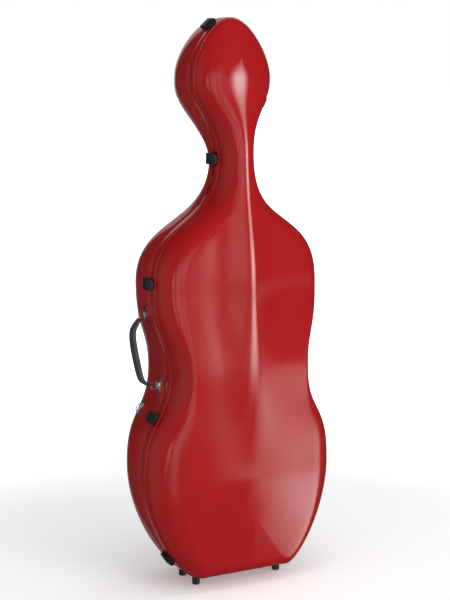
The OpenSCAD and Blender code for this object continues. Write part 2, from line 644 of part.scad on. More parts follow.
// Webbing that crosses over the instrument's neck, held by an anchor at each side.
STRAP_HALF = 27;
module neck_strap() {
    color("black") lift() translate([0, 4, CRADLE_Z + 8]) rotate([0, 0, 180])
        rotate_extrude(angle = 180) translate([STRAP_HALF, 0]) square([1.6, 30]);
}
module neck_strap_anchors() {
    color("black") lift() for (s = [-1, 1])
        translate([s * (STRAP_HALF + 0.8) - 3.4, 4.2, CRADLE_Z + 6]) cube([6.8, 1.6, 34]);
}
module head_cushion() {
    color("dimgray") lift() difference() {
        translate([-44, 72, 1150]) cube([88, 43, 76]);
        translate([0, 64, 1140]) cylinder(r = 24, h = 120);
    }
}
// Bow fittings in the lid. The bow's tip stands in a pocket and a turn-clip holds its frog.
BOW_X = 74;
BOW_Y = -80;
BOW_TIP_Z = 800;
BOW_CLIP_Z = 205;
module bow_tip_pockets() {
    color("dimgray") lift() for (s = [-1, 1]) translate([s * BOW_X, BOW_Y + 8, BOW_TIP_Z]) difference() {
        translate([-15, -12, 0]) cube([30, 24, 56]);
        translate([-12, -9, -1]) cube([24, 18, 51]);
    }
}
POST_R = 3;
module bow_clip_posts() {
    color("black") lift() for (s = [-1, 1]) translate([s * (BOW_X + 24), 0, BOW_CLIP_Z])
        rotate([90, 0, 0]) {
            translate([0, 0, 92]) cylinder(r = 9, h = 11.4);
            translate([0, 0, 76]) cylinder(r = POST_R, h = 20);
            translate([0, 0, 76]) cylinder(r = 5, h = 2);
        }
}
module bow_clip(s) {
    color("black") lift() translate([s * (BOW_X + 24), 0, BOW_CLIP_Z]) rotate([90, 0, 0])
        translate([0, 0, 79]) difference() {
            union() {
                cylinder(r = 8, h = 8);
                translate([s > 0 ? -44 : 0, -5, 0]) cube([44, 10, 6]);
                translate([-s * 44, 0, 0]) cylinder(r = 5, h = 6);
            }
            translate([0, 0, -5]) cylinder(r = POST_R + RUN_GAP, h = 20);
        }
}
module accessory_pocket() {
    color("dimgray") lift() translate([-44, -56, 1180]) cube([88, 12, 90]);
}

back_shell();
lid_shell();
back_lining();
lid_lining();
rim_seal();
hinge_leaves_back();
hinge_leaves_lid();
hinge_pins();
latch_bases();
latch_pins();
latch_strikes();
latch_lever(0);  // latch_lever_1
latch_lever(1);  // latch_lever_2
latch_lever(2);  // latch_lever_3
latch_lever(3);  // latch_lever_4
latch_lever(4);  // latch_lever_5
latch_lever(5);  // latch_lever_6
latch_lever(6);  // latch_lever_7
latch_bail(0);  // latch_bail_1
latch_bail(1);  // latch_bail_2
latch_bail(2);  // latch_bail_3
latch_bail(3);  // latch_bail_4
latch_bail(4);  // latch_bail_5
latch_bail(5);  // latch_bail_6
latch_bail(6);  // latch_bail_7
handle_plates();
handle_rings();
handle_grip();
strap_plates();
strap_ring(0);  // strap_ring_left
strap_ring(1);  // strap_ring_right
strap_ring(2);  // strap_ring_top
back_rivets();
lid_rivets();
lid_feet();
back_feet();
bottom_cushion();
lower_side_cushions();
upper_side_cushions();
neck_cradle();
neck_strap();
neck_strap_anchors();
head_cushion();
bow_tip_pockets();
bow_clip_posts();
bow_clip(-1);  // bow_clip_left
bow_clip(1);  // bow_clip_right
accessory_pocket();
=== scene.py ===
"""The looks of a tall moulded cello case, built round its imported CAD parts.

Lengths are in mm until a mesh is made.
"""
import math

import bmesh
import bpy
import numpy as np
from mathutils import Matrix, Vector


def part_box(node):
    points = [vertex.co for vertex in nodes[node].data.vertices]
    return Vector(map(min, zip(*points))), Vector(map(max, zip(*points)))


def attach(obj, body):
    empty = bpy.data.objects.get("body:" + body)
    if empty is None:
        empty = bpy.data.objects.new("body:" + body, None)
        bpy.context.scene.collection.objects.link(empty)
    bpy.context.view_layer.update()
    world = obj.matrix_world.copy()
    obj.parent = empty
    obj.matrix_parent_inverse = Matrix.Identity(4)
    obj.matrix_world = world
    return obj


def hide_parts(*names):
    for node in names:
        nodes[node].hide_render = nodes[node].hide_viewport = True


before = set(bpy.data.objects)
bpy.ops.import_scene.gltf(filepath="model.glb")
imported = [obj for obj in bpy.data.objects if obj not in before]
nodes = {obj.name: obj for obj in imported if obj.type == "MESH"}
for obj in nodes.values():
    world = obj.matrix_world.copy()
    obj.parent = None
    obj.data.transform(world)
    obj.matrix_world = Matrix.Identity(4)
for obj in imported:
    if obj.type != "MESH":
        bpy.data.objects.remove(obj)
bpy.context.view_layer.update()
scene = bpy.context.scene

# ---- measures of the case, as in the CAD source ----
CASE_H = 1357
FOOT_H = 20
BASE_W = 116
WAIST = (174, 519)
LOWER = (247, 270)
UPPER = (212, 725)
NECK = (38, 1029)
HEAD = (100, 1213)
STRETCHES = [
    [(BASE_W, 0), (BASE_W + 34, 0), (LOWER[0], LOWER[1] - 137), LOWER],
    [LOWER, (LOWER[0], LOWER[1] + 143), (WAIST[0], WAIST[1] - 112), WAIST],
    [WAIST, (WAIST[0], WAIST[1] + 75), (UPPER[0], UPPER[1] - 113), UPPER],
    [UPPER, (UPPER[0], UPPER[1] + 182), (NECK[0], NECK[1] - 174), NECK],
    [NECK, (NECK[0], NECK[1] + 89), (HEAD[0], HEAD[1] - 66), HEAD],
    [HEAD, (HEAD[0], HEAD[1] + 68), (45, CASE_H), (0, CASE_H)],
]
SPINE = [162, 250, WAIST[1], UPPER[1], NECK[1], 1214, 1266]
SPINE_START = 148
# Each row: height, crown at the edge, crown at the centre, ridge height and half width,
# width of the rounded edge, and how square that edge is.
LID = [
    [0, 92, 104, 0, 60, 42, 2.1],
    [LOWER[1], 90, 126, 1, 60, 72, 2.2],
    [WAIST[1], 110, 127, 9, 50, 27, 2.5],
    [UPPER[1], 87, 111, 20, 50, 50, 2.4],
    [NECK[1], 89, 96, 6, 24, 27, 2.6],
    [HEAD[1], 62, 84, 0, 30, 44, 2.2],
    [CASE_H, 50, 66, 0, 30, 44, 2.0],
]
BACK = [
    [0, 136, 142, 0, 90, 40, 2.8],
    [LOWER[1], 128, 138, 0, 90, 42, 3.2],
    [WAIST[1], 149, 158, 0, 90, 42, 3.4],
    [UPPER[1], 129, 137, 0, 90, 42, 3.2],
    [NECK[1] - 20, 48, 54, 0, 90, 27, 2.6],
    [NECK[1] + 123, 134, 140, 0, 90, 40, 3.0],
    [HEAD[1] + 10, 124, 136, 0, 90, 42, 2.8],
    [CASE_H, 116, 130, 0, 90, 40, 2.2],
]
SHELL_T = 3
SEAM = 1
LIP_H = 26
LEDGE = 3
LINING_T = 8
SEAM_Y = -11
RIM_IN = LEDGE + SHELL_T
LINING_OUT = RIM_IN + 0.8
LINING_IN = LINING_OUT + LINING_T
LINING_DROP = SHELL_T + 1.2
LINING_RIM = SEAM + 2
LIFT = np.array([0, SEAM_Y, FOOT_H])
MM = 0.001


# ---- mesh helpers ----
def mesh_object(name, points, faces, crease=35, lift=True):
    """A smooth-shaded mesh from points in mm. Edges that fold by more than crease degrees stay sharp."""
    pts = (np.asarray(points, float) + (LIFT if lift else 0)) * MM
    mesh = bpy.data.meshes.new(name)
    mesh.from_pydata(pts.tolist(), [], [tuple(int(i) for i in f) for f in faces])
    mesh.validate()
    bm = bmesh.new()
    bm.from_mesh(mesh)
    bmesh.ops.recalc_face_normals(bm, faces=bm.faces)
    limit = math.radians(crease)
    for e in bm.edges:
        e.smooth = e.calc_face_angle(0) < limit
    for f in bm.faces:
        f.smooth = True
    bm.to_mesh(mesh)
    bm.free()
    ob = bpy.data.objects.new(name, mesh)
    scene.collection.objects.link(ob)
    return ob


def loft(rings, closed=True, ends=True):
    """Points and faces that join rings of equal length."""
    n = len(rings[0])
    span = n if closed else n - 1
    points = np.concatenate([np.asarray(r, float) for r in rings])
    faces = []
    for k in range(len(rings) - 1):
        a, b = k * n, (k + 1) * n
        faces += [[a + i, a + (i + 1) % n, b + (i + 1) % n, b + i] for i in range(span)]
    if ends:
        faces.append(list(range(n)))
        faces.append(list(range((len(rings) - 1) * n, len(rings) * n)))
    return points, faces


def merge(parts):
    """One point and face list from several."""
    points, faces, first = [], [], 0
    for p, f in parts:
        points.append(np.asarray(p, float))
        faces += [[i + first for i in face] for face in f]
        first += len(p)
    return np.concatenate(points), faces


def unit(v):
    v = np.asarray(v, float)
    return v / np.linalg.norm(v)


def frames_along(path, closed, side=None):
    """Tangent, normal and side vectors along a path. The side stays as near as it can to the given one."""
    path = np.asarray(path, float)
    n = len(path)
    out = []
    last = unit(side) if side is not None else np.array([0.0, 1.0, 0.0])
    for i in range(n):
        a = path[(i - 1) % n] if closed or i else path[0]
        b = path[(i + 1) % n] if closed or i < n - 1 else path[-1]
        t = unit(b - a)
        s = unit(last - t * (last @ t))
        out.append((t, np.cross(s, t), s))
        last = s if side is None else unit(side)
    return out


def tube(path, r, sides=8, closed=False, side=None, flat=1.0):
    """A round cord along a path; flat scales its height out of the side direction."""
    path = np.asarray(path, float)
    angles = np.linspace(0, 2 * math.pi, sides, endpoint=False)
    rings = [
        [p + r * (math.cos(a) * s + flat * math.sin(a) * n) for a in angles]
        for p, (_, n, s) in zip(path, frames_along(path, closed, side))
    ]
    if closed:
        rings.append(rings[0])
    return loft(rings, ends=not closed)


def smooth_path(points, steps):
    """A Catmull-Rom curve through the points."""
    p = np.asarray(points, float)
    p = np.concatenate([[2 * p[0] - p[1]], p, [2 * p[-1] - p[-2]]])
    out = []
    for i in range(1, len(p) - 2):
        for t in np.linspace(0, 1, steps, endpoint=False):
            out.append(
                0.5 * (2 * p[i] + (p[i + 1] - p[i - 1]) * t
                       + (2 * p[i - 1] - 5 * p[i] + 4 * p[i + 1] - p[i + 2]) * t * t
                       + (3 * p[i] - p[i - 1] - 3 * p[i + 1] + p[i + 2]) * t ** 3)
            )
    out.append(p[-2])
    return np.array(out)


# ---- the outline and the crowned shells ----
def bezier(p, t):
    p = [np.asarray(q, float) for q in p]
    return (1 - t) ** 3 * p[0] + 3 * (1 - t) ** 2 * t * p[1] + 3 * (1 - t) * t * t * p[2] + t ** 3 * p[3]


def half_outline(n, base=3):
    pts = [np.array([BASE_W * i / base, 0.0]) for i in range(base)]
    for s in STRETCHES:
        pts += [bezier(s, i / n) for i in range(n)]
    return np.array(pts + [np.array([0.0, CASE_H])])


def half_spine(n, base=3):
    z = [SPINE_START + (SPINE[0] - SPINE_START) * i / base for i in range(base)]
    for a, b in zip(SPINE[:-1], SPINE[1:]):
        z += [a + (b - a) * i / n for i in range(n)]
    return np.array(z + [SPINE[-1]])


class Rays:
    """Lines from the outline to the centre line, with n to a stretch of the half outline."""

    def __init__(self, n, base):
        self.c = half_outline(n, base)
        self.s = half_spine(n, base)
        step = self.c[2:] - self.c[:-2]
        step /= np.linalg.norm(step, axis=1)[:, None]
        out = np.column_stack([step[:, 1], -step[:, 0]])
        out = np.vstack([[0, -1], out, [0, 1]])
        r = self.c - np.column_stack([np.zeros(len(self.s)), self.s])
        self.len = np.linalg.norm(r, axis=1)
        self.cos = (r * out).sum(1) / self.len

    def at(self, v):
        """Points at fraction v of the way out."""
        return self.c[:, 0] * v, self.s + (self.c[:, 1] - self.s) * v


def row(table, k, z):
    zs = np.array([r[0] for r in table], float)
    vs = np.array([r[k] for r in table], float)
    i = np.clip(np.searchsorted(zs, z, side="right") - 1, 0, len(zs) - 2)
    t = np.clip((z - zs[i]) / (zs[i + 1] - zs[i]), 0, 1)
    return vs[i] + (vs[i + 1] - vs[i]) * t * t * (3 - 2 * t)


def crown(table, x, z, ze, v):
    ridge = row(table, 3, z) * np.exp(-((x / row(table, 4, z)) ** 2))
    return row(table, 2, z) * (1 - v * v) + row(table, 1, ze) * v * v + ridge


def out_fraction(table, rays, inset, u):
    w = np.minimum(row(table, 5, rays.c[:, 1]), 0.8 * (rays.len * rays.cos - inset))
    return 1 - (inset + u * w) / rays.cos / rays.len


def both(half):
    """A whole ring from its right half."""
    left = half[-2:0:-1] * np.array([-1, 1, 1])
    return np.vstack([half, left])


def rim_ring(rays, inset, y):
    x, z = rays.at(1 - inset / rays.cos / rays.len)
    return both(np.column_stack([x, np.full(len(x), float(y)), z]))


def edge_ring(table, side, start, rays, inset, drop, u):
    ze = rays.c[:, 1]
    v = out_fraction(table, rays, inset, u)
    x, z = rays.at(v)
    p = row(table, 6, ze)
    k = (1 - (1 - u) ** p) ** (1 / p)
    y = start + (crown(table, x, z, ze, v) - drop - start) * k
    return both(np.column_stack([x, side * y, z]))


def crown_half(table, side, rays, inset, drop, f):
    v = out_fraction(table, rays, inset, 1) * f
    x, z = rays.at(v)
    return np.column_stack([x, side * (crown(table, x, z, rays.c[:, 1], v) - drop), z])


EDGE_STEPS = [0.004, 0.016, 0.036, 0.066, 0.11, 0.17, 0.25, 0.35, 0.47, 0.6, 0.73, 0.87, 1]
CROWN_STEPS = [0.93, 0.85, 0.76, 0.67, 0.58, 0.49, 0.4, 0.32, 0.25, 0.19, 0.14, 0.1, 0.06, 0.03]


def skin(table, side, start, rays, inset, drop):
    rings = [edge_ring(table, side, start, rays, inset, drop, u) for u in EDGE_STEPS]
    rings += [both(crown_half(table, side, rays, inset, drop, f)) for f in CROWN_STEPS]
    return rings, crown_half(table, side, rays, inset, drop, 0)


def closed_skin(rings, centre, first):
    """Faces of rings that close on the centre line."""
    n = len(rings[0])
    faces = []
    for k in range(len(rings) - 1):
        a, b = first + k * n, first + (k + 1) * n
        faces += [[a + i, a + (i + 1) % n, b + (i + 1) % n, b + i] for i in range(n)]
    a, s = first + (len(rings) - 1) * n, first + len(rings) * n
    for i in range(len(centre) - 1):
        left, after = (n - i) % n, n - i - 1
        faces.append([a + i, a + i + 1, s + i + 1, s + i])
        faces.append([a + left, s + i, s + i + 1, a + after])
    return faces


def bowl(name, outer, inner):
    """A closed shell between two skins, each given as (rings, centre)."""
    rings_o, centre_o = outer
    rings_i, centre_i = inner
    n = len(rings_o[0])
    points = np.concatenate(rings_o + [centre_o] + rings_i + [centre_i])
    first = len(rings_o) * n + len(centre_o)
    faces = closed_skin(rings_o, centre_o, 0) + closed_skin(rings_i, centre_i, first)
    faces += [[i, (i + 1) % n, first + (i + 1) % n, first + i] for i in range(n)]
    return mesh_object(name, points, faces, crease=32)


HIGH = Rays(30, 14)
SEAM_EDGE = [(0.7, 0.0), (0.2, 0.25), (0, 0.8)]
LIP_EDGE = [(0, -1.8), (0.12, -1.1), (0.5, -0.45), (1.1, -0.1), (1.9, 0), (2.5, -0.1), (2.9, -0.5)]


def back_shell():
    rims = [rim_ring(HIGH, i, SEAM + y) for i, y in SEAM_EDGE]
    rings, centre = skin(BACK, 1, SEAM + 0.8, HIGH, 0, 0)
    inner, centre_in = skin(BACK, 1, SEAM, HIGH, RIM_IN, SHELL_T)
    return bowl("back_shell_lacquered", (rims + rings, centre),
                ([rim_ring(HIGH, RIM_IN, SEAM)] + inner, centre_in))


def lid_shell():
    rims = [rim_ring(HIGH, i, -SEAM - y) for i, y in SEAM_EDGE]
    rims += [rim_ring(HIGH, i, -LIP_H - y) for i, y in LIP_EDGE]
    rings, centre = skin(LID, -1, LIP_H + 0.4, HIGH, LEDGE, 0)
    inner, centre_in = skin(LID, -1, LIP_H, HIGH, RIM_IN, SHELL_T)
    return bowl("lid_shell_lacquered", (rims + rings, centre),
                ([rim_ring(HIGH, RIM_IN, -SEAM)] + inner, centre_in))


def lining(name, table, side, start):
    """A plush lining with a rounded rim, set a little inside the shell."""
    rings_o, centre_o = skin(table, side, start, HIGH, LINING_OUT, LINING_DROP)
    rings_i, centre_i = skin(table, side, start, HIGH, LINING_IN, LINING_DROP + LINING_T)
    mid = LINING_T / 2
    rims_o, rims_i = [], []
    for a in (10, 40, 70):
        c, s = math.cos(math.radians(a)), math.sin(math.radians(a))
        y = side * (LINING_RIM + (1 - s) * 3)
        rims_o.insert(0, rim_ring(HIGH, LINING_OUT + mid * (1 - c), y))
        rims_i.insert(0, rim_ring(HIGH, LINING_IN - mid * (1 - c), y))
    return bowl(name, (rims_o + rings_o, centre_o), (rims_i + rings_i, centre_i))


def edge_x(z):
    c = half_outline(24)
    keep = (c[:, 1] > 0) | (c[:, 0] >= BASE_W)
    return float(np.interp(z, c[keep, 1], c[keep, 0]))


def rim_place(side, z):
    """Origin and axes on the rim: x outwards, y towards the back shell, z along the rim."""
    lean = math.atan2(edge_x(z - 1) - edge_x(z + 1), 2)
    b = -lean if side > 0 else lean - math.pi
    axes = np.array([[math.cos(b), 0, math.sin(b)], [0, 1, 0], [-math.sin(b), 0, math.cos(b)]])
    return np.array([side * edge_x(z), 0, z]), axes


# ---- materials ----
class Shader:
    """A node material with short ways to add and join nodes."""

    def __init__(self, name, **values):
        self.material = bpy.data.materials.new(name)
        self.material.use_nodes = True
        self.tree = self.material.node_tree
        self.bsdf = self.tree.nodes["Principled BSDF"]
        self.coords = self.add("ShaderNodeTexCoord")
        for key, value in values.items():
            self.bsdf.inputs[key.replace("_", " ")].default_value = value

    def add(self, kind, **values):
        node = self.tree.nodes.new(kind)
        for key, value in values.items():
            if key in node.inputs:
                node.inputs[key].default_value = value
            else:
                setattr(node, key, value)
        return node

    def join(self, a, b):
        self.tree.links.new(a, b)

    def noise(self, scale, detail=2.0, rough=0.5, stretch=None):
        node = self.add("ShaderNodeTexNoise", Scale=scale, Detail=detail, Roughness=rough)
        source = self.coords.outputs["Object"]
        if stretch:
            mapping = self.add("ShaderNodeMapping", Scale=stretch)
            self.join(source, mapping.inputs["Vector"])
            source = mapping.outputs["Vector"]
        self.join(source, node.inputs["Vector"])
        return node.outputs["Fac"]

    def ramp(self, source, low, high, start=0.3, end=0.7):
        node = self.add("ShaderNodeMapRange")
        for key, value in zip(("From Min", "From Max", "To Min", "To Max"), (start, end, low, high)):
            node.inputs[key].default_value = value
        self.join(source, node.inputs["Value"])
        return node.outputs["Result"]

    def tint(self, source, a, b):
        node = self.add("ShaderNodeMix", data_type="RGBA")
        node.inputs["A"].default_value = (*a, 1)
        node.inputs["B"].default_value = (*b, 1)
        self.join(source, node.inputs["Factor"])
        self.join(node.outputs["Result"], self.bsdf.inputs["Base Color"])

    def rough(self, source, low, high, start=0.3, end=0.7):
        self.join(self.ramp(source, low, high, start, end), self.bsdf.inputs["Roughness"])

    def bump(self, source, distance, strength=1.0, onto="Normal", after=None):
        node = self.add("ShaderNodeBump", Distance=distance, Strength=strength)
        self.join(source, node.inputs["Height"])
        if after is not None:
            self.join(after.outputs["Normal"], node.inputs["Normal"])
        self.join(node.outputs["Normal"], self.bsdf.inputs[onto])
        return node


def lacquer():
    """Deep red under clear gloss: faint orange peel, and a body colour that is barely uneven."""
    s = Shader("red_lacquer", Roughness=0.5, Specular_IOR_Level=0.1, Coat_Weight=1.0, Coat_Roughness=0.07,
               Coat_IOR=1.5)
    s.tint(s.ramp(s.noise(6, 3), 0, 1), (0.335, 0.0028, 0.0045), (0.365, 0.0034, 0.0052))
    peel = s.noise(260, 2)
    s.bump(peel, 0.00002, 0.6)
    waves = s.bump(s.noise(6, 1), 0.0009, 1.0, "Coat Normal")
    s.bump(s.noise(160, 3), 0.000015, 0.6, "Coat Normal", after=waves)
    s.join(s.ramp(s.noise(30, 4), 0.055, 0.085), s.bsdf.inputs["Coat Roughness"])
    return s.material


def moulded_black(name, tone, low, high, grain=900, depth=0.00004):
    s = Shader(name, Specular_IOR_Level=0.5)
    s.tint(s.ramp(s.noise(40, 3), 0, 1), (tone, tone, tone), (tone * 1.5, tone * 1.5, tone * 1.55))
    s.rough(s.noise(60, 4), low, high)
    s.bump(s.noise(grain, 2), depth, 0.5)
    return s.material


def metal(name, tone, low, high, stretch=None):
    s = Shader(name, Metallic=1.0)
    s.tint(s.ramp(s.noise(25, 3), 0, 1), (tone, tone, tone * 1.01), (tone * 0.9, tone * 0.9, tone * 0.93))
    s.rough(s.noise(120, 4, stretch=stretch), low, high)
    s.bump(s.noise(500, 3, stretch=stretch), 0.00001, 0.4)
    return s.material


def leather(name):
    s = Shader(name, Specular_IOR_Level=0.55)
    s.tint(s.ramp(s.noise(35, 4), 0, 1), (0.03, 0.03, 0.031), (0.055, 0.054, 0.054))
    cells = s.add("ShaderNodeTexVoronoi", Scale=750.0, feature="DISTANCE_TO_EDGE")
    s.join(s.coords.outputs["Object"], cells.inputs["Vector"])
    grain = s.ramp(cells.outputs["Distance"], 0, 1, 0, 0.2)
    first = s.bump(s.noise(90, 4), 0.0004, 0.35)
    s.bump(grain, 0.00012, 0.55, after=first)
    s.rough(grain, 0.5, 0.36, 0, 1)
    return s.material


def velour(name, tone, tint=(1, 1, 1.04), nap=1500, sheen=0.6):
    """Short pile: brushed lighter and darker in patches, soft at grazing angles."""
    s = Shader(name, Roughness=0.92, Sheen_Weight=sheen, Sheen_Roughness=0.45, Specular_IOR_Level=0.2)
    low = [tone * c * 0.8 for c in tint]
    high = [tone * c * 1.35 for c in tint]
    brushed = s.noise(14, 5, 0.6, stretch=(1.0, 1.0, 0.35))
    s.tint(s.ramp(brushed, 0, 1, 0.35, 0.65), low, high)
    first = s.bump(s.noise(60, 3), 0.0008, 0.4)
    s.bump(s.noise(nap, 3, 0.7), 0.0005, 0.7, after=first)
    return s.material


def webbing(name):
    """Woven tape: fine crossing yarns."""
    s = Shader(name, Roughness=0.8, Sheen_Weight=0.3, Specular_IOR_Level=0.3)
    waves = []
    for axis in ("X", "Z"):
        w = s.add("ShaderNodeTexWave", Scale=260.0, bands_direction=axis)
        s.join(s.coords.outputs["Object"], w.inputs["Vector"])
        waves.append(w.outputs["Fac"])
    both_ways = s.add("ShaderNodeMath", operation="MULTIPLY")
    s.join(waves[0], both_ways.inputs[0])
    s.join(waves[1], both_ways.inputs[1])
    s.tint(both_ways.outputs["Value"], (0.012, 0.012, 0.012), (0.05, 0.05, 0.05))
    s.bump(both_ways.outputs["Value"], 0.0003, 0.7)
    return s.material


def thread(name, tone):
    s = Shader(name, Roughness=0.7, Sheen_Weight=0.4)
    s.tint(s.noise(600, 2), (tone, tone, tone), (tone * 1.8, tone * 1.8, tone * 1.8))
    s.bump(s.noise(2500, 2), 0.0001, 0.6)
    return s.material


RED = lacquer()
COVER = moulded_black("latch_cover", 0.012, 0.3, 0.42)
COATED = moulded_black("black_coated_steel", 0.014, 0.35, 0.5)
RUBBER = moulded_black("foot_rubber", 0.012, 0.6, 0.78, 500, 0.0001)
SEAL = moulded_black("seal_rubber", 0.01, 0.55, 0.7, 700, 0.00006)
PLASTIC = moulded_black("moulded_plastic", 0.02, 0.4, 0.55)
CLIP = moulded_black("clip_rubber", 0.022, 0.5, 0.65, 600, 0.00006)
CHROME = metal("bright_chrome", 0.8, 0.06, 0.14)
STEEL = metal("hinge_steel", 0.55, 0.24, 0.36, stretch=(1.0, 1.0, 14.0))
PIN = metal("turned_pin", 0.5, 0.2, 0.3)
LEATHER = leather("grip_leather")
THREAD = thread("stitch_thread", 0.03)
PLUSH = velour("plush_lining", 0.03)
CUSHION = velour("cushion_velour", 0.045)
POCKET = velour("pocket_velour", 0.038, nap=1200)
PIPING = velour("piping_cord", 0.02, nap=2200, sheen=0.3)
WEB = webbing("woven_tape")

NODE_LOOKS = [
    (SEAL, ["rim_seal"]),
    (STEEL, ["hinge_leaves_back", "hinge_leaves_lid"]),
    (PIN, ["hinge_pins", "latch_pins"]),
    (COATED, ["latch_bases", "latch_strikes", "back_rivets", "lid_rivets"]
     + ["latch_bail_%d" % k for k in range(1, 8)]),
    (COVER, ["latch_lever_%d" % k for k in range(1, 8)]),
    (CHROME, ["handle_plates", "handle_rings", "strap_plates", "strap_ring_left",
              "strap_ring_right", "strap_ring_top"]),
    (RUBBER, ["lid_feet", "back_feet"]),
    (PLASTIC, ["neck_strap_anchors", "bow_clip_posts"]),
    (CLIP, ["bow_clip_left", "bow_clip_right"]),
]
BEVELLED = {"latch_bases": 0.35, "latch_strikes": 0.3, "hinge_leaves_back": 0.4, "hinge_leaves_lid": 0.4,
            "handle_plates": 0.35, "strap_plates": 0.35, "bow_clip_left": 0.8, "bow_clip_right": 0.8,
            "neck_strap_anchors": 0.3, "rim_seal": 0.25}
BEVELLED.update({"latch_lever_%d" % k: 0.7 for k in range(1, 8)})


def dress(ob, material):
    ob.data.materials.clear()
    ob.data.materials.append(material)


def soften(ob, width_mm):
    bevel = ob.modifiers.new("soft_edges", "BEVEL")
    bevel.width = width_mm * MM
    bevel.segments = 2
    bevel.limit_method = "ANGLE"
    bevel.angle_limit = math.radians(40)
    bevel.harden_normals = False


def dress_cad_nodes():
    for material, names in NODE_LOOKS:
        for name in names:
            dress(nodes[name], material)
    for name, width in BEVELLED.items():
        soften(nodes[name], width)


def place(ob, material, body, slot, *replaced):
    """Gives a new piece its material and body, and hides the CAD nodes it stands for. The slot is not used.
    """
    dress(ob, material)
    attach(ob, body)
    if replaced:
        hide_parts(*replaced)
    return ob


# ---- shells, linings and their trim ----
def build_shells():
    place(back_shell(), RED, "case_back", "red_lacquer", "back_shell")
    place(lid_shell(), RED, "lid", "red_lacquer", "lid_shell")
    place(lining("back_lining_plush", BACK, 1, LINING_RIM + 3), PLUSH, "case_back", "plush", "back_lining")
    place(lining("lid_lining_plush", LID, -1, LIP_H), PLUSH, "lid", "plush", "lid_lining")


def build_piping():
    """A cord sewn round the rim of each lining."""
    rays = Rays(20, 8)
    for name, side, body in (("back_lining_cord", 1, "case_back"), ("lid_lining_cord", -1, "lid")):
        path = rim_ring(rays, LINING_IN + 0.6, side * (LINING_RIM + 4.5))
        points, faces = tube(path, 1.7, 10, closed=True)
        place(mesh_object(name, points, faces), PIPING, body, "plush")


# ---- handle grip ----
HANDLE_Z = (481, 656)
HANDLE_Y = 35
HANDLE_STAND = 6.8
GRIP_PATH = [(14, 4), (25, 9), (34, 17), (38.5, 28), (40.5, 52), (41.5, 82), (41.5, 110), (40, 132),
             (35, 149), (25, 161), (14, 171)]
# Half width and half thickness round the grip: a sewn edge, then the padded middle.
GRIP_SECTION = [(13.4, 0.0), (13.3, 2.6), (12.8, 4.1), (11.9, 4.9), (11.0, 5.1), (10.2, 4.8), (9.2, 5.3),
                (6.5, 5.8), (3.2, 6.1), (0.0, 6.2)]


def grip_frame():
    low, high = [np.array([-edge_x(z) - HANDLE_STAND, HANDLE_Y, z]) for z in HANDLE_Z]
    up = unit(high - low)
    out = unit(np.cross(up, [0, 1.0, 0]) * -1)
    if out[0] > 0:
        out = -out
    return low, out, up


def grip_centre(steps=8):
    low, out, up = grip_frame()
    return np.array([low + out * p[0] + up * p[1] for p in smooth_path(GRIP_PATH, steps)])


def grip_sizes(t):
    """Half width and thickness factors along the grip, t from 0 to 1."""
    swell = math.sin(math.pi * t)
    return (8 + 5.5 * swell ** 0.6) / 13.5, (3.2 + 2.8 * swell ** 0.8) / 6


def grip_ring(p, normal, side, t):
    w, h = grip_sizes(t)
    half = [(x * w, y * h) for x, y in GRIP_SECTION]
    loop = half + [(-x, y) for x, y in half[-2::-1]]
    loop = loop + [(x, -y) for x, y in loop[-2:0:-1]]
    return [p + side * x + normal * y for x, y in loop]


def build_grip():
    path = grip_centre()
    ts = np.linspace(0, 1, len(path))
    axes = frames_along(path, False, side=(0, 1, 0))
    rings = []
    for p, t, (_, n, s) in zip(path, ts, axes):
        rings.append(grip_ring(p, n, s, t))
    points, faces = loft(rings)
    grip = mesh_object("handle_grip_leather", points, faces, crease=60)
    place(grip, LEATHER, "handle", "grip_leather", "handle_grip")
    build_grip_stitches(path, ts, axes)


STITCH_END = 7
STITCH_PITCH = 4.2
STITCH_LEN = 2.9
STITCH_OUT = 10.3
STITCH_UP = 4.95
STITCH_R = 0.42


def build_grip_stitches(path, ts, axes):
    """Short threads along both edges of the grip, on its outer and inner faces."""
    run = np.concatenate([[0], np.cumsum(np.linalg.norm(np.diff(path, axis=0), axis=1))])
    parts = []
    for edge in (-1, 1):
        for face in (-1, 1):
            for d in np.arange(STITCH_END, run[-1] - STITCH_END, STITCH_PITCH):
                ends = []
                for dd in (d, d + STITCH_LEN):
                    t = np.interp(dd, run, ts)
                    p = np.array([np.interp(dd, run, path[:, k]) for k in range(3)])
                    i = min(int(np.searchsorted(run, dd)), len(axes) - 1)
                    w, h = grip_sizes(t)
                    _, n, s = axes[i]
                    ends.append(p + s * edge * STITCH_OUT * w + n * face * STITCH_UP * h)
                a, b = ends
                lift = unit(axes[i][1]) * face * 0.25
                parts.append(tube([a - lift, a * 0.8 + b * 0.2 + lift, a * 0.2 + b * 0.8 + lift, b - lift],
                                  STITCH_R, 6, side=(0, 1, 0)))
    points, faces = merge(parts)
    place(mesh_object("handle_grip_stitches", points, faces, crease=80), THREAD, "handle", "grip_leather")


# ---- latches ----
LATCHES = [(-1, 1338), (-1, 1024), (-1, 735), (-1, 407), (-1, 54), (1, 1157), (1, 35)]


COVER_LOW = 3.5
COVER_RISE = 8.1
COVER_HALF = 26
RIB_PLACES = (-17, -13.5, -10, -6.5, -3)
RIB_HALF = 9.5
RIB_R = 0.75


def cover_top(y):
    return COVER_LOW + COVER_RISE * (1 - (abs(y) / COVER_HALF) ** 4) ** 0.25


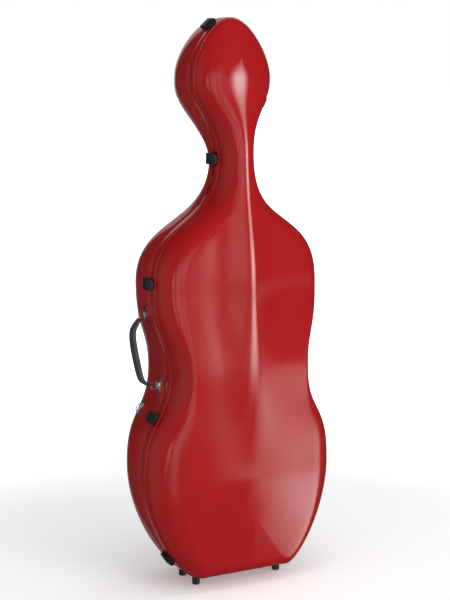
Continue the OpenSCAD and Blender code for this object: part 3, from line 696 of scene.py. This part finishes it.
def build_latch_ribs():
    """Raised grip ribs across each latch cover, on its own lever."""
    for k, (side, z) in enumerate(LATCHES):
        origin, axes = rim_place(side, z)
        parts = []
        for y in RIB_PLACES:
            x = cover_top(y) - 0.25
            flat = RIB_HALF - 0.8
            line = [(x - 0.5, y, -RIB_HALF), (x, y, -flat), (x, y, flat), (x - 0.5, y, RIB_HALF)]
            world = [origin + axes @ np.array(p) for p in line]
            parts.append(tube(world, RIB_R, 8, side=axes @ np.array([1.0, 0, 0])))
        points, faces = merge(parts)
        ribs = mesh_object("latch_%d_ribs" % (k + 1), points, faces, crease=70)
        place(ribs, COVER, "lever_%d" % (k + 1), "latch_cover")


# ---- soft goods inside ----
def node_copy(node, name, shrink):
    """A copy of a CAD soft solid, a little smaller, with no parent."""
    mesh = nodes[node].data.copy()
    mesh.name = name
    ob = bpy.data.objects.new(name, mesh)
    scene.collection.objects.link(ob)
    bm = bmesh.new()
    bm.from_mesh(mesh)
    bmesh.ops.remove_doubles(bm, verts=bm.verts, dist=1e-5)
    bmesh.ops.recalc_face_normals(bm, faces=bm.faces)
    bm.normal_update()
    for v in bm.verts:
        v.co -= v.normal * v.calc_shell_factor() * shrink * MM
    bm.to_mesh(mesh)
    bm.free()
    return ob


def apply_modifiers(ob):
    dg = bpy.context.evaluated_depsgraph_get()
    dg.update()
    mesh = bpy.data.meshes.new_from_object(ob.evaluated_get(dg), depsgraph=dg)
    ob.modifiers.clear()
    old = ob.data
    ob.data = mesh
    bpy.data.meshes.remove(old)


def coords(mesh):
    co = np.zeros(len(mesh.vertices) * 3)
    mesh.vertices.foreach_get("co", co)
    return co.reshape(-1, 3)


def puff(ob, cap_mm, pressure=4.0, steps=20):
    """Swells a padded solid with cloth under pressure, and limits how far a point may go."""
    rest = coords(ob.data)
    cloth = ob.modifiers.new("cloth", "CLOTH")
    cloth.settings.quality = 5
    cloth.settings.mass = 0.2
    cloth.settings.tension_stiffness = 12
    cloth.settings.compression_stiffness = 12
    cloth.settings.bending_stiffness = 0.4
    cloth.settings.use_pressure = True
    cloth.settings.uniform_pressure_force = pressure
    cloth.settings.effector_weights.gravity = 0
    cloth.point_cache.frame_start, cloth.point_cache.frame_end = 1, steps
    for f in range(1, steps + 1):
        scene.frame_set(f)
    dg = bpy.context.evaluated_depsgraph_get()
    moved = coords(ob.evaluated_get(dg).data)
    ob.modifiers.remove(cloth)
    step = moved - rest
    size = np.linalg.norm(step, axis=1)
    cap = cap_mm * MM
    limited = cap * np.tanh(size / cap)
    step *= (limited / np.maximum(size, 1e-9))[:, None]
    ob.data.vertices.foreach_set("co", (rest + step).ravel())
    ob.data.update()
    scene.frame_set(1)


def cushion(node, name, body="case_back", slot="cushion_velour", material=None, voxel=5, shrink=2.5, cap=5):
    ob = node_copy(node, name, shrink)
    remesh = ob.modifiers.new("remesh", "REMESH")
    remesh.mode = "VOXEL"
    remesh.voxel_size = voxel * MM
    apply_modifiers(ob)
    relax = ob.modifiers.new("relax", "SMOOTH")
    relax.iterations = 3
    apply_modifiers(ob)
    puff(ob, cap)
    for f in ob.data.polygons:
        f.use_smooth = True
    sub = ob.modifiers.new("subdivision", "SUBSURF")
    sub.levels = sub.render_levels = 1
    return place(ob, material or CUSHION, body, slot, node)


def surface_cord(ob, plane_point, plane_normal, name, body, slot, radius=1.1):
    """A piping cord where a plane cuts a padded piece."""
    dg = bpy.context.evaluated_depsgraph_get()
    bm = bmesh.new()
    bm.from_mesh(ob.evaluated_get(dg).data)
    cut = bmesh.ops.bisect_plane(bm, geom=bm.verts[:] + bm.edges[:] + bm.faces[:],
                                 plane_co=plane_point, plane_no=plane_normal)
    edges = [e for e in cut["geom_cut"] if isinstance(e, bmesh.types.BMEdge)]
    loops = chain(edges)
    bm_points = [[np.array(v.co) / MM for v in loop] for loop in loops]
    bm.free()
    parts = []
    for loop in bm_points:
        if len(loop) < 12:
            continue
        parts.append(tube(relaxed(loop), radius, 8, closed=True, side=plane_normal))
    if not parts:
        return
    points, faces = merge(parts)
    place(mesh_object(name, points, faces, lift=False), PIPING, body, slot)


def chain(edges):
    """Closed loops of vertices from loose edges."""
    near = {}
    for e in edges:
        a, b = e.verts
        near.setdefault(a, []).append(b)
        near.setdefault(b, []).append(a)
    loops, seen = [], set()
    for start in near:
        if start in seen:
            continue
        loop, here = [], start
        while here is not None:
            seen.add(here)
            loop.append(here)
            here = next((v for v in near[here] if v not in seen), None)
        loops.append(loop)
    return loops


def relaxed(loop, rounds=6):
    p = np.array(loop)
    for _ in range(rounds):
        p = (np.roll(p, 1, 0) + 2 * p + np.roll(p, -1, 0)) / 4
    return p[::2]


def build_cushions():
    y = (SEAM_Y + 30) * MM
    made = [
        cushion("bottom_cushion", "bottom_cushion_padded", cap=6),
        cushion("lower_side_cushions", "lower_side_cushions_padded"),
        cushion("upper_side_cushions", "upper_side_cushions_padded"),
        cushion("neck_cradle", "neck_cradle_padded", voxel=4, shrink=2, cap=3),
        cushion("head_cushion", "head_cushion_padded", voxel=4.5, cap=5),
    ]
    places = [(0, y - 0.006, 0), (0, y - 0.006, 0), (0, y - 0.006, 0), (0, y - 0.012, 0), (0, y + 0.026, 0)]
    for ob, point in zip(made, places):
        bpy.context.view_layer.update()
        surface_cord(ob, point, (0, 1, 0), ob.name.replace("padded", "piping"), "case_back", "cushion_velour")


FLAP_H = 34
FLAP_ROWS = 16
STUD_X = 26
STUD_DROP = 25
STUD_PROFILE = [(0.1, 1.9), (2.2, 1.7), (3.4, 1.1), (4.2, 0.2), (4.2, -1.2)]


def build_pocket():
    """A flat padded pouch with a folded flap and two snap studs."""
    cushion("accessory_pocket", "accessory_pouch", "lid", "pocket_velour", POCKET, 4, 1.6, 4)
    lo, hi = [np.array(c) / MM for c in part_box("accessory_pocket")]
    x0, x1, z1 = lo[0] + 1, hi[0] - 1, hi[2]
    front = hi[1]
    rings = []
    for i, z in enumerate(np.linspace(z1 - FLAP_H, z1 + 1, FLAP_ROWS)):
        t = i / (FLAP_ROWS - 1)
        y = front + 2.4 + 1.1 * math.sin(math.pi * t) - 5 * t ** 6
        trim = 6 * (1 - min(1, t * 5)) ** 2
        xs = np.linspace(x0 + trim, x1 - trim, 24)
        sag = [0.5 * math.cos((x - x0) / (x1 - x0) * math.pi * 3) for x in xs]
        top = [(x, y + 1.2 + s, z) for x, s in zip(xs, sag)]
        low = [(x, y - 0.6 + s, z) for x, s in zip(xs[::-1], sag[::-1])]
        rings.append(top + low)
    points, faces = loft(rings)
    place(mesh_object("accessory_pouch_flap", points, faces, lift=False), POCKET, "lid", "pocket_velour")
    studs = []
    for x in (-STUD_X, STUD_X):
        ring = [[(x + q * math.cos(a), front + 4 + d, z1 - STUD_DROP + q * math.sin(a))
                 for a in np.linspace(0, 2 * math.pi, 20, endpoint=False)] for q, d in STUD_PROFILE]
        studs.append(loft(ring))
    points, faces = merge(studs)
    place(mesh_object("accessory_pouch_studs", points, faces, lift=False), COATED, "lid", "pocket_velour")


def build_bow_pockets():
    """Soft sleeves for the bows' tips, open at the bottom, with a bound edge."""
    lo, hi = [np.array(c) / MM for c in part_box("bow_tip_pockets")]
    for name, s in (("left", -1), ("right", 1)):
        x, y = s * (hi[0] - 15), (lo[1] + hi[1]) / 2
        outer, inner = [], []
        for i, z in enumerate(np.linspace(lo[2], hi[2], 14)):
            t = i / 13
            close = 1 - 0.35 * max(0, (t - 0.7) / 0.3) ** 2
            wide, deep = 14.6 * close, 11.6 * close
            bulge = 1 + 0.03 * math.sin(math.pi * t * 3)
            outer.append(oval(x, y, z, wide * bulge, deep, 3.0))
            inner.append(oval(x, y, z, wide - 3, deep - 3, 3.0))
        rings = outer + [oval(x, y, hi[2] + 1.2, 6, 4, 2.4)]
        low = [oval(x, y, lo[2] + 50, 9, 6, 3.0)] + inner[::-1][2:]
        points, faces = loft(low + rings)
        piece = mesh_object("bow_tip_sleeve_%s" % name, points, faces, crease=50, lift=False)
        replaced = ["bow_tip_pockets"] if s < 0 else []
        place(piece, POCKET, "lid", "pocket_velour", *replaced)
        ring = oval(x, y, lo[2] + 0.8, 14.2, 11.2, 3.0)
        points, faces = tube(ring, 1.5, 8, closed=True, side=(0, 0, 1))
        place(mesh_object("bow_tip_binding_%s" % name, points, faces, lift=False), PIPING, "lid",
              "pocket_velour")


def oval(x, y, z, a, b, power, n=32):
    out = []
    for t in np.linspace(0, 2 * math.pi, n, endpoint=False):
        c, s = math.cos(t), math.sin(t)
        out.append(np.array([x + a * math.copysign(abs(c) ** (2 / power), c),
                             y + b * math.copysign(abs(s) ** (2 / power), s), z]))
    return out


def build_neck_strap():
    """A woven tape over the neck, with a sewn hem and an overlapping end."""
    lo, hi = [np.array(c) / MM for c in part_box("neck_strap")]
    cy, z0, z1 = hi[1], lo[2], hi[2]
    r = (hi[0] - lo[0]) / 2 - 0.8
    parts = []
    for start, end, extra in ((180, 360, 0.0), (236, 304, 1.5)):
        rings = []
        for a in np.radians(np.linspace(start, end, 40)):
            wave = 0.25 * math.sin(a * 7)
            rings.append(tape_ring(r + extra, a, cy, z0 + 0.3 + extra, z1 - 0.3 - extra, wave))
        parts.append(loft(rings))
    points, faces = merge(parts)
    place(mesh_object("neck_strap_tape", points, faces, crease=50, lift=False), WEB, "case_back", "webbing",
          "neck_strap")
    stitches = []
    for a0 in (240, 300):
        a = math.radians(a0)
        out = r + 2.4
        for z in np.arange(z0 + 4, z1 - 5, 3.2):
            p = [np.array([out * math.cos(a), cy + out * math.sin(a), z + dz]) for dz in (0, 1, 2)]
            stitches.append(tube(p, 0.35, 6, side=(1, 0, 0)))
    points, faces = merge(stitches)
    place(mesh_object("neck_strap_stitches", points, faces, lift=False), THREAD, "case_back", "webbing")


def tape_ring(radius, a, cy, z0, z1, wave):
    c, s = math.cos(a), math.sin(a)
    zs = np.linspace(z0, z1, 7)
    outer = [(radius + 0.75 + wave, z) for z in zs]
    inner = [(radius - 0.75 + wave, z) for z in zs[::-1]]
    mid = [(radius + wave, z1 + 0.35)]
    low = [(radius + wave, z0 - 0.35)]
    return [np.array([q * c, cy + q * s, z]) for q, z in outer + mid + inner + low]


# ---- stage ----
CAMERA_TURN = 0.47047
CAMERA_RISE = 0.16229
CAMERA_ROLL = -0.0146
CAMERA_FAR = 3894.6
CAMERA_AIM = (-13.2, 0, 679.3)
LENS = 96


def build_camera():
    c, s = math.cos(CAMERA_TURN), math.sin(CAMERA_TURN)
    back = np.array([-s * math.cos(CAMERA_RISE), -c * math.cos(CAMERA_RISE), math.sin(CAMERA_RISE)])
    right0 = np.array([c, -s, 0])
    up0 = np.cross(back, right0)
    k, m = math.cos(CAMERA_ROLL), math.sin(CAMERA_ROLL)
    right, up = k * right0 + m * up0, -m * right0 + k * up0
    eye = (np.array(CAMERA_AIM) + CAMERA_FAR * back + LIFT) * MM
    data = bpy.data.cameras.new("camera")
    data.sensor_width = 36
    data.lens = LENS
    data.clip_end = 50
    cam = bpy.data.objects.new("camera", data)
    scene.collection.objects.link(cam)
    turn = Matrix([right, up, back]).transposed().to_4x4()
    cam.matrix_world = Matrix.Translation(Vector(eye)) @ turn
    scene.camera = cam


FLOOR_HALF = 30000
FLOOR_GLOW = 0.25
# How far from the case, in metres, the floor starts and ends its fade to the room's white.
FADE_M = (0.7, 2.4)


def smooth_step(tree, source, start, end, low, high):
    """A node that goes smoothly from low to high as the source goes from start to end."""
    node = tree.nodes.new("ShaderNodeMapRange")
    node.interpolation_type = "SMOOTHSTEP"
    for key, value in zip(("From Min", "From Max", "To Min", "To Max"), (start, end, low, high)):
        node.inputs[key].default_value = value
    tree.links.new(source, node.inputs["Value"])
    return node.outputs["Result"]


def fade_to_white(tree, strength):
    """The floor's glow, and for the camera alone a rise to white, so no horizon shows."""
    place_m = tree.nodes.new("ShaderNodeNewGeometry")
    reach = tree.nodes.new("ShaderNodeVectorMath")
    reach.operation = "LENGTH"
    tree.links.new(place_m.outputs["Position"], reach.inputs[0])
    white = smooth_step(tree, reach.outputs["Value"], *FADE_M, 0, 1)
    path = tree.nodes.new("ShaderNodeLightPath")
    seen = math_node(tree, "MULTIPLY", white, path.outputs["Is Camera Ray"])
    tree.links.new(math_node(tree, "ADD", seen, FLOOR_GLOW), strength)


def build_floor():
    """A pale flat floor, with no wall."""
    xs = ys = np.linspace(-FLOOR_HALF, FLOOR_HALF, 3)
    rings = [[(x, y, -0.5) for x in xs] for y in ys]
    points, faces = loft(rings, closed=False, ends=False)
    floor = mesh_object("floor", points, faces, crease=90, lift=False)
    s = Shader("pale_floor", Roughness=0.7, Specular_IOR_Level=0.2)
    s.tint(s.ramp(s.noise(2, 3), 0, 1), (0.88, 0.88, 0.88), (0.92, 0.92, 0.92))
    s.bsdf.inputs["Emission Color"].default_value = (1, 1, 1, 1)
    fade_to_white(s.material.node_tree, s.bsdf.inputs["Emission Strength"])
    dress(floor, s.material)
    floor.visible_glossy = False


def area_light(name, place_m, aim_m, size, power):
    data = bpy.data.lights.new(name, "AREA")
    data.shape = "RECTANGLE"
    data.size, data.size_y = size
    data.energy = power
    ob = bpy.data.objects.new(name, data)
    scene.collection.objects.link(ob)
    ob.location = place_m
    ob.rotation_euler = (Vector(aim_m) - Vector(place_m)).to_track_quat("-Z", "Y").to_euler()
    ob.visible_camera = False
    ob.visible_glossy = False


# What the gloss reflects: direction and half width of each soft panel, in degrees, and its brightness.
# Azimuth 0 looks out of the lid, and grows towards the hinges.
PANELS = [
    (23, 8, 0, 10, 9.5),
    (60, 17, -25, 10, 4.4),
    (38, 9, -19, 7, 1.6),
    (14, 8, -4, 7, 0.8),
    (-14, 14, 4, 12, 1.0),
    (-42, 12, -2, 16, 1.1),
    (-66, 5, -3, 9, 1.4),
    (-20, 55, 6, 40, 0.12),
    (-112, 28, 4, 26, 0.26),
    (172, 26, 14, 30, 0.5),
]
# How far each panel's edges are softened, as a share of its half width.
AZIMUTH_SOFT = 0.7
ELEVATION_SOFT = 0.98
ROOM = 0.03
DAYLIGHT = 0.9
DAY_BEHIND = 0.16
# The daylight comes from the front and above; from behind there is little of it.
DAY_FROM = (0.25, -0.85, 0.45)
DAY_EDGE = (-0.55, 0.75)


def math_node(tree, operation, a, b=None):
    node = tree.nodes.new("ShaderNodeMath")
    node.operation = operation
    for slot, value in zip(node.inputs, (a, b)):
        if value is None:
            continue
        if isinstance(value, (int, float)):
            slot.default_value = value
        else:
            tree.links.new(value, slot)
    return node.outputs["Value"]


def soft_band(tree, angle, middle, half, edge):
    """One inside the band, falling smoothly to nothing at its edges."""
    away = math_node(tree, "ABSOLUTE", math_node(tree, "SUBTRACT", angle, math.radians(middle)))
    near, far = math.radians(half * (1 - edge)), math.radians(half * (1 + edge))
    return smooth_step(tree, away, near, far, 1, 0)


def panel_light(tree):
    coords = tree.nodes.new("ShaderNodeTexCoord")
    split = tree.nodes.new("ShaderNodeSeparateXYZ")
    tree.links.new(coords.outputs["Generated"], split.inputs["Vector"])
    forward = math_node(tree, "MULTIPLY", split.outputs["Y"], -1.0)
    turn = math_node(tree, "ARCTAN2", split.outputs["X"], forward)
    rise = math_node(tree, "ARCSINE", split.outputs["Z"])
    total = math_node(tree, "ADD", ROOM, 0.0)
    for az, az_half, el, el_half, power in PANELS:
        spot = math_node(tree, "MULTIPLY", soft_band(tree, turn, az, az_half, AZIMUTH_SOFT),
                         soft_band(tree, rise, el, el_half, ELEVATION_SOFT))
        total = math_node(tree, "ADD", total, math_node(tree, "MULTIPLY", spot, power))
    return total


def daylight(tree):
    coords = tree.nodes.new("ShaderNodeTexCoord")
    toward = tree.nodes.new("ShaderNodeVectorMath")
    toward.operation = "DOT_PRODUCT"
    tree.links.new(coords.outputs["Generated"], toward.inputs[0])
    toward.inputs[1].default_value = DAY_FROM
    return smooth_step(tree, toward.outputs["Value"], *DAY_EDGE, DAY_BEHIND, DAYLIGHT)


def build_world():
    """White behind the case, soft panels in its gloss, and even daylight on everything else."""
    world = bpy.data.worlds.new("room")
    scene.world = world
    world.use_nodes = True
    tree = world.node_tree
    path = tree.nodes.new("ShaderNodeLightPath")
    gloss = math_node(tree, "MULTIPLY", panel_light(tree), path.outputs["Is Glossy Ray"])
    even = math_node(tree, "MULTIPLY", daylight(tree), path.outputs["Is Diffuse Ray"])
    strength = math_node(tree, "ADD", math_node(tree, "ADD", gloss, even), path.outputs["Is Camera Ray"])
    background = tree.nodes["Background"]
    background.inputs["Color"].default_value = (1, 1, 1, 1)
    tree.links.new(strength, background.inputs["Strength"])


def build_lights():
    area_light("front", (0.8, -3.2, 1.8), (0, 0, 0.7), (1.6, 2.0), 30)
    area_light("top", (0, -0.6, 3.4), (0, 0, 0.6), (1.6, 1.6), 15)


def build():
    dress_cad_nodes()
    build_shells()
    build_piping()
    build_grip()
    build_latch_ribs()
    build_cushions()
    build_pocket()
    build_bow_pockets()
    build_neck_strap()
    build_floor()
    build_world()
    build_lights()
    build_camera()
    scene.view_settings.view_transform = "Standard"


build()
